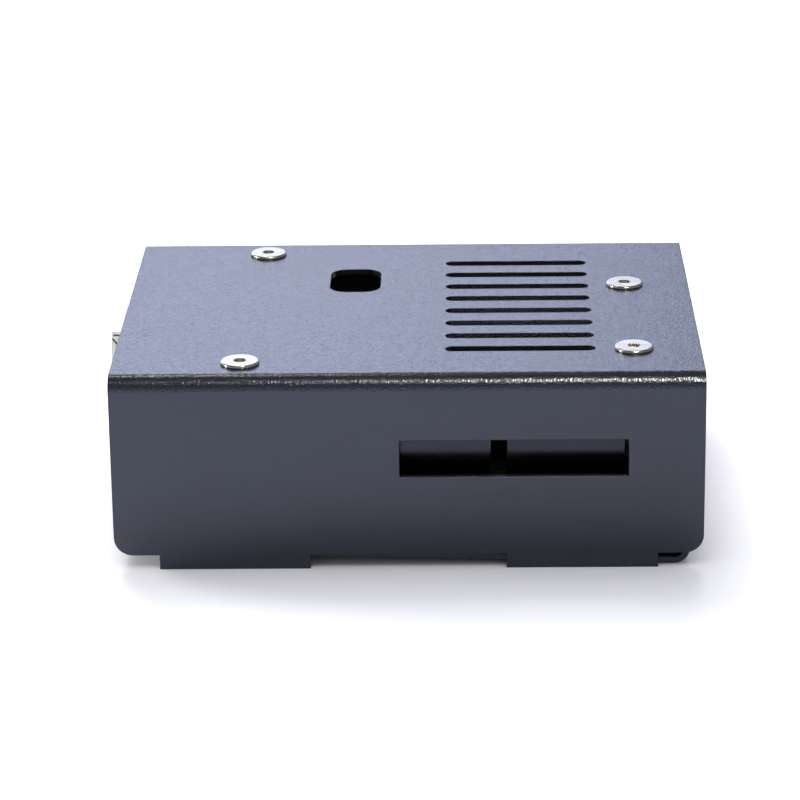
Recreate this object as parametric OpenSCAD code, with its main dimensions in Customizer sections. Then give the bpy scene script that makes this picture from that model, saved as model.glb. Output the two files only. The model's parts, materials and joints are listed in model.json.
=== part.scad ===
// Folded sheet-steel case with the development board that it holds.
// Sizes are in millimetres. The origin is on the ground under the middle of the part.
// +X runs from the end with the sockets to the plain end, +Y from the front wall to the back.

/* [Board] */
// Length of the circuit board
board_w = 68.58; // [66:0.01:76]
// Depth of the circuit board
board_d = 53.34; // [52:0.01:60]
// Thickness of the circuit board
board_t = 1.6; // [1:0.1:2]
// Pitch of the pin rows, and their distance from the board's edges
pitch = 2.54; // [2.4:0.01:2.6]
// Diameter of the board's fixing holes
board_hole_d = 3.2; // [3:0.1:3.6]

/* [Cover] */
// Thickness of the folded sheet
sheet_t = 0.8; // [0.6:0.1:1]
// Inside radius of every fold
fold_r = 1.2; // [0.8:0.1:1.6]
// From the cover's socket end to the board
board_x = 3; // [2.4:0.1:5]
// From the board to the cover's plain end
board_room_x = 6.4; // [5:0.1:10]
// From the cover's front face to the board
board_y = 3.4; // [2.4:0.1:6]
// From the board to the cover's back face
board_room_y = 3.86; // [2.4:0.01:8]
// Radius of the walls' lower corners
wall_corner_r = 2.5; // [1:0.1:4]
// Height of the feet, from the ground to the walls' lower edges
foot_h = 2; // [1:0.1:3]
// Width of each foot
foot_w = 20; // [10:0.5:24]
// From the cover's end to the foot beside it
foot_inset = 6; // [4:0.5:10]

/* [Front and back slots] */
// Length of the front slot
front_slot_w = 30.1; // [20:0.1:36]
// Length of the back slot
back_slot_w = 43; // [30:0.5:46]
// Height of both slots
slot_h = 5.1; // [4:0.1:7]
// From the board's top to the slots' lower edges
slot_rise = 2.9; // [2:0.1:4]
// How far the slots reach past the last pin
slot_end = 1.5; // [1:0.1:3]

/* [Vents and window] */
// Number of vent slots
vent_n = 8; // [2:1:8]
// Length of a vent slot over its round ends
vent_l = 20; // [10:0.5:24]
// Width of a vent slot
vent_w = 2.1; // [1.2:0.1:2.6]
// Distance between the vent slots
vent_pitch = 5.43; // [4:0.01:5.6]
// From the cover's plain end to the vent slots
vent_inset = 14; // [10:0.5:20]
// From the cover's front face to the middle of the first vent slot
vent_y = 11.3; // [9:0.1:14]
// Length of the window over the indicator lamps
window_w = 7.1; // [5:0.1:9]
// Depth of the window
window_d = 10.6; // [8:0.1:12]
// Corner radius of the window
window_r = 2.4; // [1:0.1:2.5]

/* [Tray] */
// From the cover's ends to the tray's end walls
tray_inset = 1.2; // [0.8:0.1:1.4]
// Gap between the tray's edges and the cover's walls
tray_gap = 0.3; // [0.2:0.05:0.6]
// Gap over the tray's end walls
tray_head_gap = 0.9; // [0.7:0.1:2]
// Ground clearance under the tray when it hangs level
tray_lift = 1.6; // [1.5:0.1:3]
// How far the tray's plain end hangs below level
end_drop = 1.45; // [0:0.05:1.45]
// Gap round the sockets in the tray's end wall
socket_gap = 0.4; // [0.2:0.1:0.8]

/* [Fixings] */
// Height of the standoffs on the tray
standoff_l = 6; // [5:0.5:8]
// Diameter of the standoffs
standoff_d = 5.4; // [4.8:0.1:6]
// Length of the spacers between the board and the cover
spacer_l = 16; // [14:0.5:20]
// Diameter of the spacers
spacer_d = 4.8; // [4.2:0.1:5]
// Root diameter of the screw threads
thread_d = 2.5; // [2:0.1:2.6]
// Clearance round a thread in its bore, on the diameter
thread_gap = 0.4; // [0.3:0.05:0.5]
// Length of the cover screws under their heads
screw_l = 6; // [4:0.5:8]
// Diameter of the screw heads
head_d = 5.2; // [4.6:0.1:6]
// Height of the screw heads
head_h = 0.45; // [0.4:0.05:1.2]
// Radius of the heads' upper edges
head_round = 0.25; // [0.1:0.05:0.35]
// Size of the hexagon sockets across their flats
hex_af = 1.5; // [1.3:0.1:2]
// Depth of the hexagon sockets
hex_depth = 0.5; // [0.4:0.05:1.2]

/* [Sockets] */
// How far the data socket stands out past the board
usb_reach = 5.9; // [4:0.1:7]
// Length of the data socket
usb_l = 16.2; // [14:0.1:18]
// Width of the data socket
usb_w = 12; // [11:0.1:13]
// Height of the data socket
usb_h = 11; // [9.8:0.1:11.4]
// From the board's back edge to the middle of the data socket
usb_y = 15.24; // [13.24:0.01:17.24]
// How far the power socket stands out past the board
jack_reach = 1.9; // [1:0.1:2.5]
// Length of the power socket
jack_l = 13.2; // [12:0.1:13.6]
// Width of the power socket
jack_w = 9; // [8.4:0.1:9.2]
// Height of the power socket's bore over the board
jack_axis = 6.5; // [5:0.1:7]
// Diameter of the power socket's bore
jack_bore = 6.3; // [5.6:0.1:6.6]
// Diameter of the power socket's centre pin
jack_pin_d = 2.1; // [1.6:0.1:2.5]
// From the board's front edge to the middle of the power socket
jack_y = 7.8; // [7.6:0.1:9]
// Height of the socket strips
strip_h = 8.5; // [7:0.1:9]
// Width of the socket strips
strip_w = 2.5; // [2.2:0.05:2.6]

/* [Reset switch] */
// Width of the switch
switch_w = 6; // [5.6:0.1:6.4]
// Height of the switch under its plunger
switch_h = 3.5; // [3.2:0.1:4]
// Diameter of the plunger
plunger_d = 3.5; // [3:0.1:3.8]
// How far the plunger stands out of the switch
plunger_rise = 1.5; // [1:0.1:3]
// Travel of the plunger
plunger_travel = 0.25; // [0.1:0.05:0.4]

/* [Hidden] */
$fn = 64;

// How far a cut runs past the face that it opens
over = 1;
// Running clearance between pieces that are put together
slip = 0.1;

// Heights of the stack, from the ground up
board_top = tray_lift + sheet_t + standoff_l + board_t;
cover_h = board_top + spacer_l + sheet_t;
cover_w = board_x + board_w + board_room_x;
cover_d = board_y + board_d + board_room_y;
fold_outer = fold_r + sheet_t;

// Fixing holes of the board, from its front corner at the socket end
hole_at = [
    [13.97, pitch],
    [15.24, board_d - pitch],
    [board_w - pitch, 7.62],
    [board_w - pitch, 35.56]
];

// The tray and all that stands on it hang from the edge of the first spacer
hang_x = board_x + hole_at[0].x - spacer_d / 2;
hang_z = cover_h - sheet_t;
hang_angle = asin(end_drop / (cover_w - tray_inset - fold_outer - hang_x));
usb_past_cover = usb_reach - board_x + spacer_l * sin(hang_angle);
origin_x = (cover_w - usb_past_cover) / 2;

// The tray when it hangs level
tray_w = cover_w - 2 * tray_inset;
tray_d = cover_d - 2 * (sheet_t + tray_gap);
tray_h = cover_h - sheet_t - tray_head_gap - tray_lift;
tray_corner = fold_outer;

// Bores, studs and clinched ends of the standoffs and spacers
clinch_step = 0.6;
clinch_d = standoff_d - 2 * clinch_step;
stud_short = 0.5;
stud_l = board_t + standoff_l - stud_short;
bore_past = 2;
bore_l = screw_l + bore_past;

// Pin rows of the board. The back row has as many pins as fit beside the second spacer.
row_front = pitch;
row_back = board_d - pitch;
last_pin = board_w - 2 * pitch;
strip_end = 0.2;
analog_n = 6;
power_n = 6;
digital_break = 4.064;
digital_start = hole_at[1].x + spacer_d / 2 + slip + strip_end + pitch / 2;
digital_n = floor((last_pin - digital_break - digital_start) / (2 * pitch)) + 1;
analog_pin = last_pin - (analog_n - 1) * pitch;
power_pin = analog_pin - (power_n + 1) * pitch;
digital_low_pin = last_pin - (digital_n - 1) * pitch;
digital_high_pin = digital_low_pin - digital_break - (digital_n - 1) * pitch;
strip_rows = [
    [power_pin, power_n, row_front],
    [analog_pin, analog_n, row_front],
    [digital_low_pin, digital_n, row_back],
    [digital_high_pin, digital_n, row_back]
];

// Socket strips and their forked contacts
strip_floor = 1;
entry_w = 1;
contact_w = entry_w - slip;
contact_t = 0.2;
contact_drop = 1.5;
contact_h = strip_h - contact_drop;
tail_w = 0.5;
tail_past = 1.4;
tail_l = board_t + tail_past;
tail_hole_d = 1;

// Board outline, which steps in past the last fixing hole
board_step = pitch;
board_step_y = hole_at[3].y + board_step / 2;
board_corner = 1.52;

// Data socket
usb_mid = board_d - usb_y;
usb_end = usb_l - usb_reach;
usb_skin = 0.4;
usb_mouth_w = 8.45;
usb_mouth_h = 7.78;
usb_mouth_z = (usb_h - usb_mouth_h) / 2;
usb_mouth_cut = 1.6;
usb_depth = 9.5;
usb_tongue_w = 5.6;
usb_tongue_h = 3.2;
usb_tongue_l = 8;
usb_contact_w = 1;
usb_contact_t = 0.2;
usb_contact_l = 7;
usb_spring_w = 2.2;
usb_spring_l = 6;
usb_spring_slit = 0.5;
usb_lug_l = 1.5;
usb_lug_h = 1.9;
usb_lug_tip = 0.05;
usb_lug_slit = 0.2;
usb_lug_top = usb_h - usb_skin - usb_lug_slit;
usb_relief_w = 0.7;
usb_relief_h = usb_lug_h + usb_relief_w;

// Power socket
jack_face_l = 3.4;
jack_depth = 9.5;
jack_pin_set = 0.8;
jack_pin_l = jack_depth - jack_pin_set;
jack_spring_w = 2;
jack_spring_t = 0.4;

// Controller in its socket, two rows of legs along the board
chip_n = 14;
chip_row = 3 * pitch;
chip_end = 23.1;
chip_x = board_w - chip_end;
chip_y = 18.6;
chip_socket_h = 4.2;
chip_rail_w = pitch;
chip_w = 6.6;
chip_h = 3.3;
chip_l = (chip_n - 0.4) * pitch;
chip_bevel = 0.25;
chip_float = 0.5;
leg_w = 0.5;
leg_t = 0.25;
leg_depth = 3;
socket_pin_d = 0.5;
socket_pin_rise = 0.8;

// Program headers beside two of the fixing holes, each with two rows of three pins
program_from_hole = [[-1.16, -7.66], [6.16, -5.26]];
program_at = [hole_at[3] + program_from_hole[0], hole_at[1] + program_from_hole[1]];
program_turn = [90, 0];
program_n = 3;
program_h = 2.5;
program_pin_w = 0.64;
program_pin_h = 8.5;

// Reset switch in the corner behind the data socket
switch_back = 4.2;
switch_at = [6.6, board_d - switch_back];
switch_plate_t = 0.3;
plunger_flange = 0.5;
plunger_flange_h = 0.6;

// Lamps under the window
lamp_back = 15.14;
lamp_at = [28.25, board_d - lamp_back];
lamp_n = 3;
lamp_pitch = 3.6;
lamp_size = [2, 1.25, 0.8];

// Pieces beside the data socket
interface_from_usb = [7.3, -2.7];
interface_at = [usb_end, usb_mid] + interface_from_usb;
interface_size = [5, 5, 0.9];
fuse_from_usb = [3.3, 4.2];
fuse_at = [usb_end, usb_mid] + fuse_from_usb;
fuse_size = [3.2, 4.5, 0.8];

// Pieces beside the power socket and the controller
diode_at = [4.8, 15.4];
diode_size = [4.3, 2.6, 2.2];
array_n = 4;
array_pitch = 5;
array_size = [3.2, 1.6, 0.6];
array_from_chip = [-9.48, 11.4];
array_at = [chip_x, chip_y] + array_from_chip;
capacitor_at = [[20.6, 9.6], [28.4, 9.6]];
capacitor_d = 6.3;
capacitor_h = 5.4;
capacitor_base = 6.6;
capacitor_base_h = 1;
regulator_at = [10.6, 18.2];
regulator_size = [6.5, 3.5, 1.6];
regulator_lift = 0.1;
lead_t = 0.3;
lead_w = 0.7;
lead_l = 1.7;
lead_pitch = 2.3;
tab_w = 3;

// Crystal, midway between the regulator's leads and the data socket
regulator_back = regulator_at.y + regulator_size.y / 2 + lead_l;
crystal_at = [13.4, (regulator_back + usb_mid - usb_w / 2) / 2];
crystal_l = 11.4;
crystal_w = 4.7;
crystal_h = 3.5;
crystal_rim = 0.4;

// Places the cover's own frame, whose corner is at the front of the socket end, on the ground.
module in_case() {
    translate([-origin_x, -cover_d / 2, 0]) children();
}

// Places the tray and all that stands on it, hanging low at the plain end.
module in_unit() {
    in_case()
        translate([hang_x, 0, hang_z])
            rotate([0, hang_angle, 0])
                translate([-hang_x, 0, -hang_z]) children();
}

// Places a piece in the frame of the board's top face.
module on_board() {
    in_unit() translate([board_x, board_y, board_top]) children();
}

// Box whose middle stands on the ground of its frame.
module block(size) {
    translate([-size.x / 2, -size.y / 2, 0]) cube(size);
}

// Flat outline with its two upper corners rounded.
module round_top(w, h, r) {
    square([w, h - r]);
    translate([r, 0]) square([w - 2 * r, h]);
    for (x = [r, w - r])
        translate([x, h - r]) circle(r);
}

// Flat outline with four round corners.
module round_plate(w, d, r) {
    translate([r, 0]) square([w - 2 * r, d]);
    translate([0, r]) square([w, d - 2 * r]);
    for (x = [r, w - r], y = [r, d - r])
        translate([x, y]) circle(r);
}

// Section of a folded strip: two walls, the sheet between them and two round folds.
module channel(w, h) {
    difference() {
        round_top(w, h, fold_outer);
        translate([sheet_t, -over])
            round_top(w - 2 * sheet_t, h - sheet_t + over, fold_r);
    }
}

// Extrudes an outline drawn in X and Z from y to y + length.
module along_y(y, length) {
    translate([0, y + length, 0]) rotate([90, 0, 0]) linear_extrude(length) children();
}

// Extrudes an outline drawn in Y and Z from x to x + length.
module along_x(x, length) {
    translate([x, 0, 0]) rotate([90, 0, 90]) linear_extrude(length) children();
}

// The front and back walls seen from the front, with their feet.
module cover_outline() {
    translate([0, cover_h + over]) mirror([0, 1])
        round_top(cover_w, cover_h + over - foot_h, wall_corner_r);
    for (x = [foot_inset, cover_w - foot_inset - foot_w])
        translate([x, 0]) square([foot_w, foot_h + wall_corner_r]);
}

// Cut for the pins' slot through one wall, ending past the last pin.
module wall_slot(y, w) {
    translate([board_x + last_pin + slot_end - w, y - over, board_top + slot_rise])
        cube([w, sheet_t + 2 * over, slot_h]);
}

module vent_slots() {
    x = cover_w - vent_inset - vent_l;
    for (i = [0 : vent_n - 1])
        translate([x, vent_y + i * vent_pitch - vent_w / 2])
            round_plate(vent_l, vent_w, vent_w / 2 - 0.001);
}

module window_outline() {
    translate([board_x + lamp_at.x - window_w / 2, board_y + lamp_at.y - window_d / 2])
        round_plate(window_w, window_d, window_r);
}

module screw_holes() {
    for (h = hole_at)
        translate([board_x + h.x, board_y + h.y]) circle(d = thread_d + 2 * thread_gap);
}

module cover() {
    color("#3a3d42") in_case() difference() {
        intersection() {
            along_x(0, cover_w) channel(cover_d, cover_h);
            along_y(-over, cover_d + 2 * over) cover_outline();
        }
        wall_slot(0, front_slot_w);
        wall_slot(cover_d - sheet_t, back_slot_w);
        translate([0, 0, cover_h - sheet_t - over]) linear_extrude(sheet_t + 2 * over) {
            vent_slots();
            window_outline();
            screw_holes();
        }
    }
}

// One opening in the tray's end wall round a socket that stands on the board.
module socket_opening(middle, w, h) {
    translate([tray_inset - over, board_y + middle - w / 2 - socket_gap, board_top - socket_gap])
        cube([sheet_t + 2 * over, w + 2 * socket_gap, h + 2 * socket_gap]);
}

module tray() {
    color("#33363b") in_unit() difference() {
        intersection() {
            translate([tray_inset, 0, tray_lift])
                along_y(sheet_t + tray_gap, tray_d)
                    translate([0, tray_h]) mirror([0, 1]) channel(tray_w, tray_h);
            along_x(tray_inset - over, tray_w + 2 * over)
                translate([sheet_t + tray_gap, tray_lift - over])
                    round_top(tray_d, tray_h + over, tray_corner);
        }
        socket_opening(usb_mid, usb_w, usb_h);
        socket_opening(jack_y, jack_w, jack_axis + jack_w / 2);
        for (h = hole_at)
            translate([board_x + h.x, board_y + h.y, tray_lift - over])
                cylinder(d = clinch_d + slip, h = sheet_t + 2 * over);
    }
}

// Threaded standoffs, clinched into the tray flush with its underside.
module standoffs() {
    color("silver") in_unit() for (h = hole_at)
        translate([board_x + h.x, board_y + h.y, tray_lift]) difference() {
            union() {
                cylinder(d = clinch_d, h = sheet_t);
                translate([0, 0, sheet_t]) cylinder(d = standoff_d, h = standoff_l);
            }
            translate([0, 0, -over])
                cylinder(d = thread_d + thread_gap, h = sheet_t + standoff_l + 2 * over);
        }
}

// Spacers that clamp the board to the standoffs with a stud and take the cover screws.
module spacers() {
    color("silver") on_board() for (h = hole_at)
        translate([h.x, h.y, 0]) difference() {
            union() {
                cylinder(d = spacer_d, h = spacer_l);
                translate([0, 0, -stud_l]) cylinder(d = thread_d, h = stud_l + over);
            }
            translate([0, 0, spacer_l - bore_l])
                cylinder(d = thread_d + thread_gap, h = bore_l + over);
        }
}

// Half section of a cover screw, with its head's upper edge rounded.
module screw_section() {
    translate([0, -screw_l]) square([thread_d / 2, screw_l + head_h]);
    difference() {
        square([head_d / 2, head_h]);
        translate([head_d / 2 - head_round, head_h - head_round]) difference() {
            square(head_round + over);
            circle(head_round);
        }
    }
}

// Thin flat-headed screws with hexagon sockets, seated on the cover.
module cover_screws() {
    color("gainsboro") in_case() for (h = hole_at)
        translate([board_x + h.x, board_y + h.y, cover_h]) difference() {
            rotate_extrude() screw_section();
            translate([0, 0, head_h - hex_depth])
                cylinder(d = hex_af / cos(30), h = hex_depth + over, $fn = 6);
        }
}

module board_outline() {
    polygon([
        [0, 0],
        [board_w - board_step, 0],
        [board_w - board_step, board_step / 2],
        [board_w, board_step * 3 / 2],
        [board_w, board_step_y],
        [board_w - board_step, board_step_y + board_step],
        [board_w - board_step, board_d - board_corner],
        [board_w - board_step - board_corner, board_d],
        [0, board_d]
    ]);
}

// Places its children at each pin of the controller's socket.
module at_chip_pins() {
    for (i = [0 : chip_n - 1], side = [-1, 1])
        translate([chip_x + (i - (chip_n - 1) / 2) * pitch, chip_y + side * chip_row / 2, 0])
            children();
}

// Places its children at each program header.
module at_programs() {
    for (i = [0, 1])
        translate(program_at[i]) rotate(program_turn[i]) children();
}

// Places its children at each pin of the program headers.
module at_program_pins() {
    at_programs() for (i = [0 : program_n - 1], side = [-1, 1])
        translate([(i - (program_n - 1) / 2) * pitch, side * pitch / 2, 0]) children();
}

// Places its children at each pin of the socket strips.
module at_strip_pins() {
    for (r = strip_rows, i = [0 : r[1] - 1])
        translate([r[0] + i * pitch, r[2], 0]) children();
}

module circuit_board() {
    color("darkgreen") on_board() translate([0, 0, -board_t]) linear_extrude(board_t) difference() {
        board_outline();
        for (h = hole_at)
            translate(h) circle(d = board_hole_d);
        at_strip_pins() circle(d = tail_hole_d);
        at_chip_pins() circle(d = tail_hole_d);
        at_program_pins() circle(d = tail_hole_d);
    }
}

// Moulded strip with one square entry over each contact.
module socket_strip(row) {
    length = row[1] * pitch + 2 * strip_end;
    color("#1c1c1e") on_board() translate([row[0], row[2], 0]) difference() {
        translate([-pitch / 2 - strip_end, -strip_w / 2, 0]) cube([length, strip_w, strip_h]);
        for (i = [0 : row[1] - 1]) translate([i * pitch, 0, 0]) {
            translate([0, 0, strip_floor]) block([entry_w, entry_w, strip_h]);
            translate([0, 0, -over]) block([tail_w + slip, tail_w + slip, strip_h]);
        }
    }
}

module power_strip() { socket_strip(strip_rows[0]); }

module analog_strip() { socket_strip(strip_rows[1]); }

module digital_strip_low() { socket_strip(strip_rows[2]); }

module digital_strip_high() { socket_strip(strip_rows[3]); }

// One forked contact, seen along the strip.
module contact_fork() {
    half = contact_w / 2;
    inner = half - contact_t;
    polygon([
        [-tail_w / 2, -tail_l], [tail_w / 2, -tail_l], [tail_w / 2, strip_floor],
        [half, strip_floor], [half, contact_h], [inner, contact_h],
        [inner, strip_floor + contact_t], [-inner, strip_floor + contact_t],
        [-inner, contact_h], [-half, contact_h], [-half, strip_floor],
        [-tail_w / 2, strip_floor]
    ]);
}

module strip_contacts() {
    color("gold") on_board() at_strip_pins() along_x(-tail_w / 2, tail_w) contact_fork();
}

// Places its children at the mouth of the data socket, on the board's level.
module at_usb() {
    on_board() translate([-usb_reach, usb_mid, 0]) children();
}

// Opening of the data socket, with its two upper corners cut.
module usb_mouth() {
    half = usb_mouth_w / 2;
    top = usb_mouth_z + usb_mouth_h;
    polygon([
        [-half, usb_mouth_z], [half, usb_mouth_z], [half, top - usb_mouth_cut],
        [half - usb_mouth_cut, top], [usb_mouth_cut - half, top], [-half, top - usb_mouth_cut]
    ]);
}

// Slits round a sprung tongue that points back from the mouth.
module usb_spring_slits() {
    difference() {
        square([usb_spring_l, usb_spring_w]);
        translate([-over, usb_spring_slit])
            square([usb_spring_l - usb_spring_slit + over, usb_spring_w - 2 * usb_spring_slit]);
    }
}

// Slits that free a small pointed lug at the mouth's upper corner, seen from the side.
module usb_lug_slits() {
    fall = (usb_lug_h - usb_lug_tip) / usb_lug_l;
    slit_h = usb_lug_slit * sqrt(1 + fall * fall);
    translate([-over, usb_lug_top]) square([usb_lug_l + over, usb_lug_slit]);
    translate([0, usb_lug_top]) polygon([
        [-over, -usb_lug_tip], [0, -usb_lug_tip], [usb_lug_l, -usb_lug_h],
        [usb_lug_l, -usb_lug_h - slit_h], [0, -usb_lug_tip - slit_h], [-over, -usb_lug_tip - slit_h]
    ]);
}

// Notches in the shell's face behind the lugs, which the insulator fills less the gap given.
module usb_reliefs(front, back, gap) {
    size = [back - front, usb_relief_w - 2 * gap, usb_relief_h - 2 * gap];
    for (y = [usb_skin - usb_w / 2, usb_w / 2 - usb_skin - usb_relief_w])
        translate([front, y + gap, usb_h - usb_skin - usb_relief_h + gap]) cube(size);
}

module usb_shell() {
    inside = [usb_l - 2 * usb_skin, usb_w - 2 * usb_skin, usb_h - usb_skin];
    spring_x = 2;
    color("silver") at_usb() difference() {
        translate([0, -usb_w / 2, 0]) cube([usb_l, usb_w, usb_h]);
        translate([usb_skin, -inside.y / 2, -over]) cube(inside + [0, 0, over]);
        along_x(-over, usb_skin + 2 * over) usb_mouth();
        usb_reliefs(-over, usb_skin + over, 0);
        for (y = [-usb_w / 2 - over, usb_w / 2 - usb_skin - over])
            along_y(y, usb_skin + 2 * over) usb_lug_slits();
        for (y = [-usb_w / 4, usb_w / 4])
            translate([spring_x, y - usb_spring_w / 2, usb_h - usb_skin - over])
                linear_extrude(usb_skin + 2 * over) usb_spring_slits();
        along_y(-usb_w / 2 - over, usb_w + 2 * over)
            translate([spring_x, (usb_h - usb_spring_w) / 2]) usb_spring_slits();
    }
}

module usb_insulator() {
    size = [usb_l - 2 * usb_skin - 2 * slip, usb_w - 2 * usb_skin - 2 * slip, usb_h - usb_skin - slip];
    color("#1c1c1e") at_usb() {
        difference() {
            translate([usb_skin + slip, -size.y / 2, 0]) cube(size);
            along_x(-over, usb_depth + over) usb_mouth();
        }
        usb_reliefs(slip, usb_skin + 2 * slip, slip);
        translate([usb_depth - usb_tongue_l, -usb_tongue_w / 2, (usb_h - usb_tongue_h) / 2])
            cube([usb_tongue_l + over, usb_tongue_w, usb_tongue_h]);
    }
}

module usb_contacts() {
    top = (usb_h + usb_tongue_h) / 2;
    bottom = (usb_h - usb_tongue_h) / 2 - usb_contact_t;
    color("gold") at_usb() for (y = [-usb_tongue_w / 4, usb_tongue_w / 4], z = [bottom, top])
        translate([usb_depth - usb_contact_l, y - usb_contact_w / 2, z])
            cube([usb_contact_l, usb_contact_w, usb_contact_t]);
}

// Places its children on the axis of the power socket, at its mouth, with Z running inwards.
module at_jack() {
    on_board() translate([-jack_reach, jack_y, jack_axis]) rotate([0, 90, 0]) children();
}

// Square face, round barrel and a base under it, with the bore and the contact's groove.
module jack_body() {
    groove = [jack_spring_t + slip, jack_spring_w + 2 * slip, jack_depth];
    color("#1c1c1e") difference() {
        union() {
            on_board() translate([-jack_reach, jack_y, 0]) {
                block_h = jack_axis + jack_w / 2;
                translate([0, -jack_w / 2, 0]) cube([jack_face_l, jack_w, block_h]);
                translate([0, -jack_w / 2, 0]) cube([jack_l, jack_w, jack_axis]);
            }
            at_jack() cylinder(d = jack_w, h = jack_l);
        }
        at_jack() translate([0, 0, -over]) cylinder(d = jack_bore, h = jack_depth + over);
        at_jack() translate([0, -groove.y / 2, -over])
            cube([jack_bore / 2 + groove.x, groove.y, jack_depth + over]);
    }
}

module jack_pin() {
    tip = jack_pin_d / 2;
    color("silver") at_jack() translate([0, 0, jack_depth - jack_pin_l]) rotate_extrude() {
        intersection() {
            translate([0, tip]) circle(tip);
            square([tip, tip]);
        }
        translate([0, tip]) square([tip, jack_pin_l - tip]);
    }
}

// Flat contact that lies in the groove under the bore.
module jack_spring() {
    color("gold") at_jack() translate([jack_bore / 2, -jack_spring_w / 2, jack_depth / 4])
        cube([jack_spring_t, jack_spring_w, jack_depth * 3 / 4]);
}

// Frame of two rails and three bars with an entry over each pin.
module chip_socket() {
    length = chip_n * pitch;
    width = chip_row + chip_rail_w;
    color("#1c1c1e") on_board() difference() {
        union() {
            for (side = [-1, 1])
                translate([chip_x, chip_y + side * chip_row / 2, 0])
                    block([length, chip_rail_w, chip_socket_h]);
            for (x = [-1, 0, 1])
                translate([chip_x + x * (length - chip_rail_w) / 2, chip_y, 0])
                    block([chip_rail_w, width, chip_socket_h - chip_float]);
        }
        at_chip_pins() translate([0, 0, chip_socket_h - leg_depth])
            block([leg_w + 2 * slip, leg_t + 2 * slip, chip_socket_h]);
        at_chip_pins() translate([0, 0, -over])
            cylinder(d = socket_pin_d + slip, h = socket_pin_rise + over);
    }
}

module socket_pins() {
    color("gold") on_board() at_chip_pins() translate([0, 0, -tail_l])
        cylinder(d = socket_pin_d, h = tail_l + socket_pin_rise);
}

// Height of the controller's underside over the board.
chip_z = chip_socket_h + chip_float;

module controller_chip() {
    half = chip_w / 2;
    side = half - chip_bevel;
    notch_r = 1;
    notch_depth = 0.4;
    color("#222326") on_board() translate([chip_x, chip_y, chip_z]) difference() {
        along_x(-chip_l / 2, chip_l) polygon([
            [-side, 0], [side, 0], [half, chip_h / 2], [side, chip_h],
            [-side, chip_h], [-half, chip_h / 2]
        ]);
        translate([-chip_l / 2, 0, chip_h - notch_depth]) cylinder(r = notch_r, h = over);
    }
}

// Bent legs from the chip's sides down into the socket's entries.
module controller_legs() {
    root = chip_w / 2;
    middle = chip_row / 2;
    high = chip_z + chip_h / 2 + leg_t / 2;
    low = chip_socket_h - leg_depth + slip;
    color("silver") on_board() for (i = [0 : chip_n - 1], turn = [0, 180])
        translate([chip_x, chip_y, 0]) rotate(turn)
            along_x((i - (chip_n - 1) / 2) * pitch - leg_w / 2, leg_w) polygon([
                [root, high - leg_t], [middle - leg_t / 2, high - leg_t], [middle - leg_t / 2, low],
                [middle + leg_t / 2, low], [middle + leg_t / 2, high], [root, high]
            ]);
}

// Flat chip with a small dimple at its first corner.
module interface_chip() {
    dimple = 0.8;
    dimple_h = 0.15;
    color("#222326") on_board() translate([interface_at.x, interface_at.y, 0]) difference() {
        block(interface_size);
        translate([dimple - interface_size.x / 2, interface_size.y / 2 - dimple, interface_size.z - dimple_h])
            cylinder(d = dimple, h = over);
    }
}

module regulator_body() {
    color("#222326") on_board() translate([regulator_at.x, regulator_at.y, regulator_lift])
        block(regulator_size);
}

// Three bent leads on one side and a broad tab on the other.
module regulator_leads() {
    side = regulator_size.y / 2;
    mid = regulator_size.z / 2;
    outline = [
        [side, mid], [side + lead_l / 2, mid], [side + lead_l / 2, 0], [side + lead_l, 0],
        [side + lead_l, lead_t], [side + lead_l / 2 + lead_t, lead_t],
        [side + lead_l / 2 + lead_t, mid + lead_t], [side, mid + lead_t]
    ];
    color("silver") on_board() translate([regulator_at.x, regulator_at.y, 0]) {
        along_x(-tab_w / 2, tab_w) polygon(outline);
        for (i = [-1 : 1])
            rotate(180) along_x(i * lead_pitch - lead_w / 2, lead_w) polygon(outline);
    }
}

module capacitor_bases() {
    corner = 1.2;
    half = capacitor_base / 2;
    color("#1c1c1e") on_board() for (c = capacitor_at)
        translate([c.x, c.y, 0]) linear_extrude(capacitor_base_h) polygon([
            [-half, -half], [half - corner, -half], [half, corner - half],
            [half, half - corner], [half - corner, half], [-half, half]
        ]);
}

// Drawn cans with a crimp groove above the base and a rounded top edge.
module capacitor_cans() {
    r = capacitor_d / 2;
    groove = 0.3;
    groove_z = capacitor_base_h + 0.9;
    edge = 0.5;
    color("lightgray") on_board() for (c = capacitor_at)
        translate([c.x, c.y, 0]) rotate_extrude() {
            difference() {
                translate([0, capacitor_base_h]) square([r, capacitor_h - capacitor_base_h - edge]);
                translate([r, groove_z]) circle(groove);
            }
            translate([0, capacitor_base_h]) square([r - edge, capacitor_h - capacitor_base_h]);
            translate([r - edge, capacitor_h - edge]) circle(edge);
        }
}

// Low metal can with round ends on a thin rim.
module crystal_can() {
    color("silver") on_board() translate([crystal_at.x, crystal_at.y, 0]) {
        translate([-crystal_l / 2, -crystal_w / 2, 0])
            linear_extrude(crystal_rim) round_plate(crystal_l, crystal_w, crystal_w / 2 - 0.001);
        translate([crystal_rim - crystal_l / 2, crystal_rim - crystal_w / 2, 0])
            linear_extrude(crystal_h)
                round_plate(crystal_l - 2 * crystal_rim, crystal_w - 2 * crystal_rim,
                    crystal_w / 2 - crystal_rim - 0.001);
    }
}

// Places its children in the frame of the reset switch.
module at_switch() {
    on_board() translate([switch_at.x, switch_at.y, 0]) children();
}

// Height at which the plunger's flange starts, just under the plate.
flange_z = switch_h - switch_plate_t - slip - plunger_flange_h;

module switch_base() {
    base_h = switch_h - switch_plate_t;
    well_z = flange_z - plunger_travel - slip;
    color("#1c1c1e") at_switch() difference() {
        block([switch_w, switch_w, base_h]);
        translate([0, 0, well_z])
            cylinder(d = plunger_d + 2 * plunger_flange + 2 * slip, h = base_h);
    }
}

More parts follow.
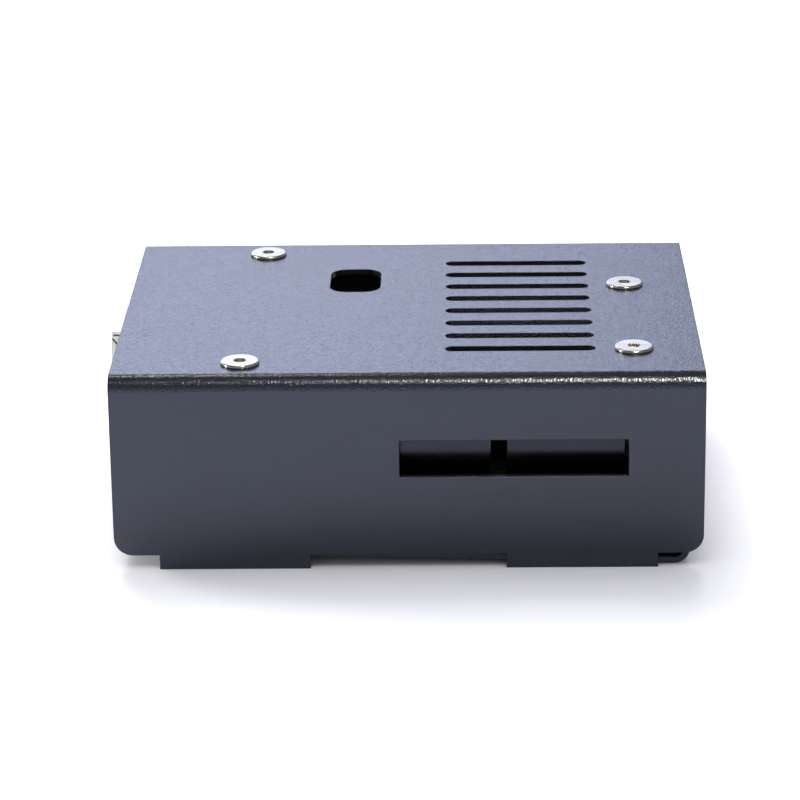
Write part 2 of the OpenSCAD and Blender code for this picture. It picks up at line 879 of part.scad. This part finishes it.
module switch_plate() {
    color("silver") at_switch() translate([0, 0, switch_h - switch_plate_t]) difference() {
        block([switch_w, switch_w, switch_plate_t]);
        translate([0, 0, -over]) cylinder(d = plunger_d + 2 * slip, h = switch_plate_t + 2 * over);
    }
}

// Round plunger, kept in the switch by the flange under the plate.
module reset_plunger() {
    color("firebrick") at_switch() {
        translate([0, 0, flange_z]) cylinder(d = plunger_d + 2 * plunger_flange, h = plunger_flange_h);
        translate([0, 0, flange_z]) cylinder(d = plunger_d, h = switch_h + plunger_rise - flange_z);
    }
}

module program_bases() {
    color("#1c1c1e") on_board() difference() {
        at_programs() block([program_n * pitch, 2 * pitch, program_h]);
        at_program_pins() translate([0, 0, -over])
            block([program_pin_w + slip, program_pin_w + slip, program_h + 2 * over]);
    }
}

module program_pins() {
    color("gold") on_board() at_program_pins() translate([0, 0, -tail_l])
        block([program_pin_w, program_pin_w, tail_l + program_pin_h]);
}

module indicator_lamps() {
    color("moccasin") on_board() for (i = [0 : lamp_n - 1])
        translate([lamp_at.x, lamp_at.y + (i - (lamp_n - 1) / 2) * lamp_pitch, 0]) block(lamp_size);
}

module board_fuse() {
    color("goldenrod") on_board() translate([fuse_at.x, fuse_at.y, 0]) block(fuse_size);
}

module power_diode() {
    color("#222326") on_board() translate([diode_at.x, diode_at.y, 0]) block(diode_size);
}

module resistor_arrays() {
    color("#222326") on_board() for (i = [0 : array_n - 1])
        translate([array_at.x + i * array_pitch, array_at.y, 0]) block(array_size);
}

cover();
tray();
standoffs();
spacers();
cover_screws();
circuit_board();
power_strip();
analog_strip();
digital_strip_low();
digital_strip_high();
strip_contacts();
usb_shell();
usb_insulator();
usb_contacts();
jack_body();
jack_pin();
jack_spring();
chip_socket();
socket_pins();
controller_chip();
controller_legs();
interface_chip();
regulator_body();
regulator_leads();
capacitor_bases();
capacitor_cans();
crystal_can();
switch_base();
switch_plate();
reset_plunger();
program_bases();
program_pins();
indicator_lamps();
board_fuse();
power_diode();
resistor_arrays();
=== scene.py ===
import json
import math

import bpy
from mathutils import Matrix, Vector

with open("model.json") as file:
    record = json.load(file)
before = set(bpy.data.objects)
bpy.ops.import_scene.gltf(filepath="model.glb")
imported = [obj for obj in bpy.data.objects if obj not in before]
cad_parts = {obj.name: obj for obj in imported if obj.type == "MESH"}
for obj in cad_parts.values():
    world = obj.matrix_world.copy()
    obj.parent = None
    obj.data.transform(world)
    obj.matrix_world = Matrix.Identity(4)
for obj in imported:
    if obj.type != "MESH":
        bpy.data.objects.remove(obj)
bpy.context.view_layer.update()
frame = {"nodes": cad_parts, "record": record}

MM = 0.001

# Camera, as the photograph was taken
IMAGE_W = 800
CAMERA_AIM = (0.000289, 0.0, 0.012855)
CAMERA_DISTANCE = 0.47593
CAMERA_TURN = 1.162
CAMERA_RISE = 19.594
CAMERA_ROLL = -0.753
FOCAL_PIXELS = 3408.8
SENSOR_W = 36.0
AXIS_SHIFT_PIXELS = 1.0
CLIP_RANGE = (0.01, 20.0)


# Shader helpers

# Values between which most of a noise texture lies
NOISE_LOW = 0.3
NOISE_HIGH = 0.7


def opaque(color):
    """A colour as a socket takes it, with its alpha."""
    return (*color, 1.0)


class Nodes:
    """A node tree, and the kinds of node that the materials and the world share."""

    def __init__(self, tree):
        self.tree = tree

    def node(self, kind, inputs=None, **settings):
        """New node with these settings and these values on its sockets."""
        made = self.tree.nodes.new(kind)
        for key, value in settings.items():
            setattr(made, key, value)
        for socket, value in (inputs or {}).items():
            made.inputs[socket].default_value = value
        return made

    def link(self, output, node_input):
        self.tree.links.new(output, node_input)

    def remap(self, value, low, high, to_low, to_high):
        """value from low..high, mapped to to_low..to_high and held there."""
        made = self.node("ShaderNodeMapRange",
                         {"From Min": low, "From Max": high, "To Min": to_low, "To Max": to_high})
        self.link(value, made.inputs["Value"])
        return made.outputs["Result"]

    def either(self, share, first, second):
        """The second shader where share is 1, and the first where it is 0."""
        made = self.node("ShaderNodeMixShader")
        for slot, output in zip(made.inputs, (share, first, second)):
            self.link(output, slot)
        return made.outputs["Shader"]


class Shader(Nodes):
    """One Principled material and the nodes that give it its detail."""

    def __init__(self, name, color, roughness, metallic=0.0):
        self.material = bpy.data.materials.new(name)
        self.material.use_nodes = True
        self.material.diffuse_color = opaque(color)
        super().__init__(self.material.node_tree)
        self.bsdf = self.tree.nodes["Principled BSDF"]
        self.set("Base Color", opaque(color))
        self.set("Roughness", roughness)
        self.set("Metallic", metallic)
        self.place = self.node("ShaderNodeTexCoord").outputs["Object"]

    def set(self, socket, value):
        self.bsdf.inputs[socket].default_value = value

    def stretched(self, scale):
        """The place on the part, stretched along its axes."""
        mapping = self.node("ShaderNodeMapping", {"Scale": scale})
        self.link(self.place, mapping.inputs["Vector"])
        return mapping.outputs["Vector"]

    def noise(self, size, detail=2.0, rough=0.5, place=None):
        """Soft noise whose spots are about size metres across."""
        made = self.node("ShaderNodeTexNoise", {"Scale": 1 / size, "Detail": detail, "Roughness": rough})
        self.link(place or self.place, made.inputs["Vector"])
        return made.outputs["Fac"]

    def cells(self, size, feature="F1"):
        """Distance within cells about size metres across: from their middles, or to their edges."""
        made = self.node("ShaderNodeTexVoronoi", {"Scale": 1 / size}, feature=feature)
        self.link(self.place, made.inputs["Vector"])
        return made.outputs["Distance"]

    def math(self, operation, first, second):
        made = self.node("ShaderNodeMath", operation=operation)
        for slot, value in zip(made.inputs, (first, second)):
            if isinstance(value, float):
                slot.default_value = value
            else:
                self.link(value, slot)
        return made.outputs["Value"]

    def color(self, share, first, second):
        """Base colour that goes from first to second with share."""
        made = self.node("ShaderNodeMix", data_type="RGBA")
        self.link(share, made.inputs["Factor"])
        for socket, color in zip(("A", "B"), (first, second)):
            slot = next(s for s in made.inputs if s.name == socket and s.type == "RGBA")
            slot.default_value = opaque(color)
        mixed = next(s for s in made.outputs if s.type == "RGBA")
        self.link(mixed, self.bsdf.inputs["Base Color"])

    def roughness(self, noise, low, high):
        """Roughness that goes from low to high with a noise."""
        self.link(self.remap(noise, NOISE_LOW, NOISE_HIGH, low, high), self.bsdf.inputs["Roughness"])

    def rounded(self, radius):
        """Normals that round the part's sharp edges off by radius."""
        return self.node("ShaderNodeBevel", {"Radius": radius}, samples=6).outputs["Normal"]

    def bump(self, *layers, below=None):
        """Stacks relief layers, each a height output and its depth in metres, on the normals below."""
        for height, depth in layers:
            made = self.node("ShaderNodeBump", {"Strength": 1.0, "Distance": depth})
            self.link(height, made.inputs["Height"])
            if below is not None:
                self.link(below, made.inputs["Normal"])
            below = made.outputs["Normal"]
        self.link(below, self.bsdf.inputs["Normal"])


# Materials

# Faint blue of the sheen on the black coat and the black plastic
SHEEN_TINT = (0.66, 0.74, 1.0)


def powder_coat():
    """Satin black powder coat: pebbled grain, orange peel, faint clouds, and edges that the coat softens."""
    coat = Shader("powder_coat", (0.022, 0.023, 0.026), 0.25)
    coat.set("IOR", 1.91)
    coat.set("Specular Tint", opaque(SHEEN_TINT))
    grain = coat.noise(0.45 * MM)
    pebble = coat.cells(0.25 * MM)
    dome = coat.math("MULTIPLY", pebble, pebble)
    peel = coat.noise(2.2 * MM, detail=1.0)
    cloud = coat.noise(14 * MM, detail=3.0)
    coat.color(cloud, (0.019, 0.020, 0.023), (0.025, 0.026, 0.030))
    coat.roughness(grain, 0.17, 0.27)
    edges = coat.rounded(0.16 * MM)
    coat.bump((peel, 0.022 * MM), (grain, 0.010 * MM), (dome, 0.0235 * MM), below=edges)
    return coat.material


def bright_nickel():
    """Bright plated steel with shallow dimples, fine turning marks and a little handling haze."""
    metal = Shader("bright_nickel", (0.52, 0.495, 0.43), 0.26, metallic=1.0)
    haze = metal.noise(1.4 * MM, detail=4.0)
    dimple = metal.noise(0.55 * MM)
    scratch = metal.noise(0.25 * MM, place=metal.stretched((1.0, 6.0, 1.0)))
    metal.color(haze, (0.45, 0.425, 0.37), (0.59, 0.56, 0.49))
    metal.roughness(haze, 0.20, 0.32)
    metal.bump((dimple, 0.007 * MM), (scratch, 0.003 * MM))
    return metal.material


def tinned_sheet():
    """Thin tinned steel sheet with rolling lines."""
    metal = Shader("tinned_sheet", (0.80, 0.80, 0.78), 0.26, metallic=1.0)
    lines = metal.noise(0.30 * MM, place=metal.stretched((0.08, 1.0, 1.0)))
    haze = metal.noise(2.0 * MM, detail=3.0)
    metal.color(haze, (0.74, 0.74, 0.73), (0.86, 0.86, 0.85))
    metal.roughness(lines, 0.28, 0.40)
    metal.bump((lines, 0.0006 * MM))
    return metal.material


def zinc_plate():
    """Turned and zinc plated steel."""
    metal = Shader("zinc_plate", (0.62, 0.63, 0.62), 0.32, metallic=1.0)
    rings = metal.noise(0.18 * MM, place=metal.stretched((0.2, 0.2, 1.6)))
    haze = metal.noise(1.2 * MM, detail=3.0)
    metal.color(haze, (0.52, 0.53, 0.52), (0.70, 0.71, 0.69))
    metal.roughness(haze, 0.26, 0.42)
    metal.bump((rings, 0.006 * MM))
    return metal.material


def moulded(name, color, grain_size, depth, low, high):
    """Moulded plastic with a spark-eroded texture, and a roughness that drifts from low to high."""
    plastic = Shader(name, color, (low + high) / 2)
    grain = plastic.noise(grain_size, detail=3.0, rough=0.6)
    flow = plastic.noise(5 * MM)
    deep = tuple(0.80 * c for c in color)
    pale = tuple(1.25 * c for c in color)
    plastic.color(flow, deep, pale)
    plastic.roughness(flow, low, high)
    plastic.bump((grain, depth))
    return plastic.material


def strip_plastic():
    """Glossy black plastic with a little flow marking."""
    plastic = Shader("strip_plastic", (0.008, 0.008, 0.009), 0.20)
    plastic.set("IOR", 1.7)
    plastic.set("Specular Tint", opaque(SHEEN_TINT))
    grain = plastic.noise(0.25 * MM)
    flow = plastic.noise(4 * MM)
    plastic.color(flow, (0.007, 0.007, 0.008), (0.010, 0.010, 0.011))
    plastic.roughness(flow, 0.13, 0.19)
    plastic.bump((grain, 0.004 * MM))
    return plastic.material


def shaded_solder_mask():
    """Green solder mask over copper tracks that stand a little proud, darkened to near black as painted
    shade for the inside of the case.
    """
    # Painted shade: the green mask is darkened to near black because the inside of the case lies in shade
    board = Shader("shaded_solder_mask", (0.004, 0.012, 0.010), 0.30)
    tracks = board.cells(3.2 * MM, feature="DISTANCE_TO_EDGE")
    line = board.remap(tracks, 0.04, 0.07, 1.0, 0.0)
    weave = board.noise(0.5 * MM)
    board.color(line, (0.003, 0.010, 0.008), (0.007, 0.022, 0.018))
    board.roughness(weave, 0.20, 0.34)
    board.bump((line, 0.03 * MM), (weave, 0.006 * MM))
    return board.material


def gilt():
    """Thin gold flash over spring metal."""
    metal = Shader("gilt", (0.83, 0.62, 0.27), 0.25, metallic=1.0)
    haze = metal.noise(0.6 * MM, detail=3.0)
    metal.color(haze, (0.72, 0.52, 0.21), (0.90, 0.70, 0.34))
    metal.roughness(haze, 0.18, 0.34)
    metal.bump((haze, 0.004 * MM))
    return metal.material


def drawn_can():
    """Drawn aluminium with upright draw lines."""
    metal = Shader("drawn_can", (0.80, 0.80, 0.81), 0.28, metallic=1.0)
    draw = metal.noise(0.15 * MM, place=metal.stretched((1.0, 1.0, 0.1)))
    metal.color(draw, (0.72, 0.72, 0.73), (0.86, 0.86, 0.87))
    metal.roughness(draw, 0.22, 0.36)
    metal.bump((draw, 0.003 * MM))
    return metal.material


def lamp_resin():
    """Clear resin over a pale base, a little cloudy."""
    resin = Shader("lamp_resin", (0.85, 0.80, 0.62), 0.18)
    resin.set("Coat Weight", 0.6)
    haze = resin.noise(0.5 * MM)
    resin.color(haze, (0.76, 0.70, 0.50), (0.90, 0.86, 0.70))
    resin.bump((haze, 0.005 * MM))
    return resin.material


# Dressing of the frame

# Finish of each material slot
FINISHES = {
    "powder_coat": powder_coat(),
    "screw_steel": bright_nickel(),
    "plated_steel": zinc_plate(),
    "board_laminate": shaded_solder_mask(),
    "strip_plastic": strip_plastic(),
    "gilt_contact": gilt(),
    "socket_steel": tinned_sheet(),
    "black_plastic": moulded("black_plastic", (0.012, 0.012, 0.013), 0.14 * MM, 0.008 * MM, 0.40, 0.55),
    "chip_epoxy": moulded("chip_epoxy", (0.033, 0.033, 0.036), 0.10 * MM, 0.010 * MM, 0.50, 0.65),
    "tinned_lead": tinned_sheet(),
    "can_aluminium": drawn_can(),
    "plunger_plastic": moulded("plunger_plastic", (0.40, 0.045, 0.035), 0.12 * MM, 0.005 * MM, 0.35, 0.48),
    "lamp_resin": lamp_resin(),
    "fuse_coat": moulded("fuse_coat", (0.52, 0.37, 0.10), 0.15 * MM, 0.010 * MM, 0.45, 0.60),
}

# Radius of the edges that show, by node. The coat rounds the edges of the cover and the tray by itself
EDGE_RADIUS = {
    "cover_screws": 0.06 * MM,
    "usb_shell": 0.06 * MM,
    "power_strip": 0.08 * MM,
    "analog_strip": 0.08 * MM,
    "digital_strip_low": 0.08 * MM,
    "digital_strip_high": 0.08 * MM,
    "jack_body": 0.10 * MM,
    "usb_insulator": 0.08 * MM,
}
EDGE_STEPS = 3
WELD_REACH = 0.0005 * MM
FLAT_ANGLE = math.radians(0.5)
EDGE_ANGLE = math.radians(30)


def soften_edges(node, radius):
    """Rounds a node's sharp edges: joins loose corners, merges flat facets and bevels what is left."""
    weld = node.modifiers.new("weld", "WELD")
    weld.merge_threshold = WELD_REACH
    flat = node.modifiers.new("flat", "DECIMATE")
    flat.decimate_type = "DISSOLVE"
    flat.angle_limit = FLAT_ANGLE
    edge = node.modifiers.new("edge", "BEVEL")
    edge.width = radius
    edge.segments = EDGE_STEPS
    edge.limit_method = "ANGLE"
    edge.angle_limit = EDGE_ANGLE
    edge.harden_normals = True
    edge.miter_outer = "MITER_ARC"


def dress_nodes():
    """Gives every node its finish, and rounds the edges that show."""
    for row in frame["record"]["subparts"]:
        node = frame["nodes"][row["node"]]
        node.data.materials.clear()
        node.data.materials.append(FINISHES[row["material_slot"]])
        if row["node"] in EDGE_RADIUS:
            soften_edges(node, EDGE_RADIUS[row["node"]])


# Stage

FLOOR_HALF = 3.0
# Painted glow that the floor adds where it is seen, and how that glow fades near and under the part, which
# is a painted contact shadow
FLOOR_GLOW = (0.90, 0.90, 1.0)
FLOOR_LIFT = 0.53
CONTACT_REACH = 12 * MM
CONTACT_FADE = 1.3
# The floor as the sheen and the metal mirror it
FLOOR_MIRRORED = (0.98, 0.96, 0.97)


def floor_paint():
    """Pale matte paint that keeps the part's shadow from the lamps, adds a painted glow that fades to a
    painted contact shadow near the part, and shows lighter than it bounces.
    """
    paint = Shader("floor_paint", (0.90, 0.90, 0.905), 0.6)
    paint.set("Specular IOR Level", 0.0)
    paint.color(paint.noise(0.25, detail=1.0), (0.895, 0.895, 0.905), (0.905, 0.905, 0.91))
    # Painted contact shadow: the floor's glow dims by ambient occlusion where the part is close
    near = paint.node("ShaderNodeAmbientOcclusion", {"Distance": CONTACT_REACH}, samples=8)
    open_share = paint.math("POWER", near.outputs["AO"], CONTACT_FADE)
    glow = paint.node("ShaderNodeEmission", {"Color": opaque(FLOOR_GLOW)})
    paint.link(paint.math("MULTIPLY", open_share, FLOOR_LIFT), glow.inputs["Strength"])
    lifted = paint.node("ShaderNodeAddShader")
    paint.link(paint.bsdf.outputs["BSDF"], lifted.inputs[0])
    paint.link(glow.outputs["Emission"], lifted.inputs[1])
    mirrored = paint.node("ShaderNodeBsdfDiffuse", {"Color": opaque(FLOOR_MIRRORED)})
    rays = paint.node("ShaderNodeLightPath").outputs
    seen = paint.math("MAXIMUM", rays["Is Camera Ray"], rays["Is Transmission Ray"])
    surface = paint.either(rays["Is Glossy Ray"], paint.bsdf.outputs["BSDF"], mirrored.outputs["BSDF"])
    surface = paint.either(seen, surface, lifted.outputs["Shader"])
    paint.link(surface, paint.tree.nodes["Material Output"].inputs["Surface"])
    return paint.material


def white_floor():
    """Broad flat floor under the part."""
    mesh = bpy.data.meshes.new("floor")
    signs = ((-1, -1), (1, -1), (1, 1), (-1, 1))
    mesh.from_pydata([(x * FLOOR_HALF, y * FLOOR_HALF, 0) for x, y in signs], [], [(0, 1, 2, 3)])
    mesh.materials.append(floor_paint())
    floor = bpy.data.objects.new("floor", mesh)
    bpy.context.scene.collection.objects.link(floor)


WHITE = (1.0, 1.0, 1.0)
WARM = (1.0, 0.91, 0.68)
BLUE = (0.72, 0.77, 1.0)
PALE_BLUE = (0.82, 0.87, 1.0)
LAMP_AIM = Vector((0.0, 0.0, 0.02))

# Broad lamps for the matte surfaces: place, width and height, radiance
MATTE_LAMPS = {
    "key_box": ((-0.08, 0.58, 0.80), (0.60, 0.55), 7.6),
    "fill_box": ((0.0, -0.50, 1.00), (0.60, 0.60), 1.9),
    "left_box": ((-0.50, 0.24, 0.15), (0.22, 0.16), 24.0),
}

# Backdrop and small lamps that only the sheen and the metal show: place, width and height, radiance, colour
GLOSS_LAMPS = {
    "back_low": ((-0.43, 1.00, 0.19), (1.10, 0.26), 0.40, BLUE),
    "back_mid": ((-0.37, 1.00, 0.385), (1.10, 0.15), 1.42, BLUE),
    "back_high": ((-0.34, 1.00, 0.545), (1.16, 0.17), 3.3, BLUE),
    "back_left": ((-0.44, 0.99, 0.47), (0.92, 0.32), 0.50, PALE_BLUE),
    "glint_right": ((0.130, -0.328, 0.542), (0.09, 0.125), 66.0, WARM),
    "glint_left": ((-0.06, 0.160, 0.308), (0.05, 0.06), 9.0, WARM),
    "streak_left": ((-0.75, -0.04, 0.31), (0.12, 0.12), 60.0, WHITE),
}

# The room, the brighter horizon that the sheen shows, the heights between which it fades, and the sky
ROOM_COLOR = (0.95, 0.98, 1.0)
ROOM_LIGHT = 0.14
HORIZON_LIGHT = 0.60
HORIZON_LOW = 0.1
HORIZON_HIGH = 0.5
SKY_COLOR = (0.95, 0.95, 0.96)
SKY_LIGHT = 1.0


def soft_box(name, place, size, radiance, color):
    """Rectangular lamp at place that faces the part, with an even radiance over its face."""
    lamp = bpy.data.lights.new(name, "AREA")
    lamp.shape = "RECTANGLE"
    lamp.size, lamp.size_y = size
    lamp.energy = radiance * size[0] * size[1] * math.pi
    lamp.color = color
    made = bpy.data.objects.new(name, lamp)
    made.location = place
    made.rotation_mode = "QUATERNION"
    made.rotation_quaternion = (LAMP_AIM - made.location).to_track_quat("-Z", "Y")
    bpy.context.scene.collection.objects.link(made)
    return made


def studio_light():
    """Broad lamps for the matte light, and a backdrop with small lamps for the gloss."""
    for name, row in MATTE_LAMPS.items():
        soft_box(name, *row, WHITE).visible_glossy = False
    for name, row in GLOSS_LAMPS.items():
        soft_box(name, *row).visible_diffuse = False


def room_light():
    """Dim room: the sheen shows a brighter horizon, and a pale sky is seen behind the part."""
    world = bpy.data.worlds.new("room")
    bpy.context.scene.world = world
    world.use_nodes = True
    nodes = Nodes(world.node_tree)
    room = nodes.tree.nodes["Background"]
    room.inputs["Color"].default_value = opaque(ROOM_COLOR)
    room.inputs["Strength"].default_value = ROOM_LIGHT
    split = nodes.node("ShaderNodeSeparateXYZ")
    nodes.link(nodes.node("ShaderNodeTexCoord").outputs["Generated"], split.inputs["Vector"])
    fade = nodes.remap(split.outputs["Z"], HORIZON_LOW, HORIZON_HIGH, HORIZON_LIGHT, ROOM_LIGHT)
    horizon = nodes.node("ShaderNodeBackground", {"Color": opaque(PALE_BLUE)})
    nodes.link(fade, horizon.inputs["Strength"])
    sky = nodes.node("ShaderNodeBackground", {"Color": opaque(SKY_COLOR), "Strength": SKY_LIGHT})
    rays = nodes.node("ShaderNodeLightPath").outputs
    surface = room.outputs["Background"]
    for ray, light in (("Is Glossy Ray", horizon), ("Is Transmission Ray", sky), ("Is Camera Ray", sky)):
        surface = nodes.either(rays[ray], surface, light.outputs["Background"])
    nodes.link(surface, nodes.tree.nodes["World Output"].inputs["Surface"])


def photo_camera():
    """Camera at the photograph's place, with its long lens."""
    turn, rise = math.radians(CAMERA_TURN), math.radians(CAMERA_RISE)
    back = Vector((math.sin(turn) * math.cos(rise), -math.cos(turn) * math.cos(rise), math.sin(rise)))
    lens = bpy.data.cameras.new("camera")
    lens.sensor_width = SENSOR_W
    lens.lens = FOCAL_PIXELS / IMAGE_W * SENSOR_W
    lens.shift_x = -AXIS_SHIFT_PIXELS / IMAGE_W
    lens.clip_start, lens.clip_end = CLIP_RANGE
    camera = bpy.data.objects.new("camera", lens)
    camera.location = Vector(CAMERA_AIM) + back * CAMERA_DISTANCE
    look = (-back).to_track_quat("-Z", "Y").to_matrix()
    roll = Matrix.Rotation(math.radians(CAMERA_ROLL), 3, "Z")
    camera.rotation_mode = "QUATERNION"
    camera.rotation_quaternion = (look @ roll).to_quaternion()
    bpy.context.scene.collection.objects.link(camera)
    bpy.context.scene.camera = camera


dress_nodes()
white_floor()
studio_light()
room_light()
photo_camera()
bpy.context.scene.view_settings.view_transform = "Standard"
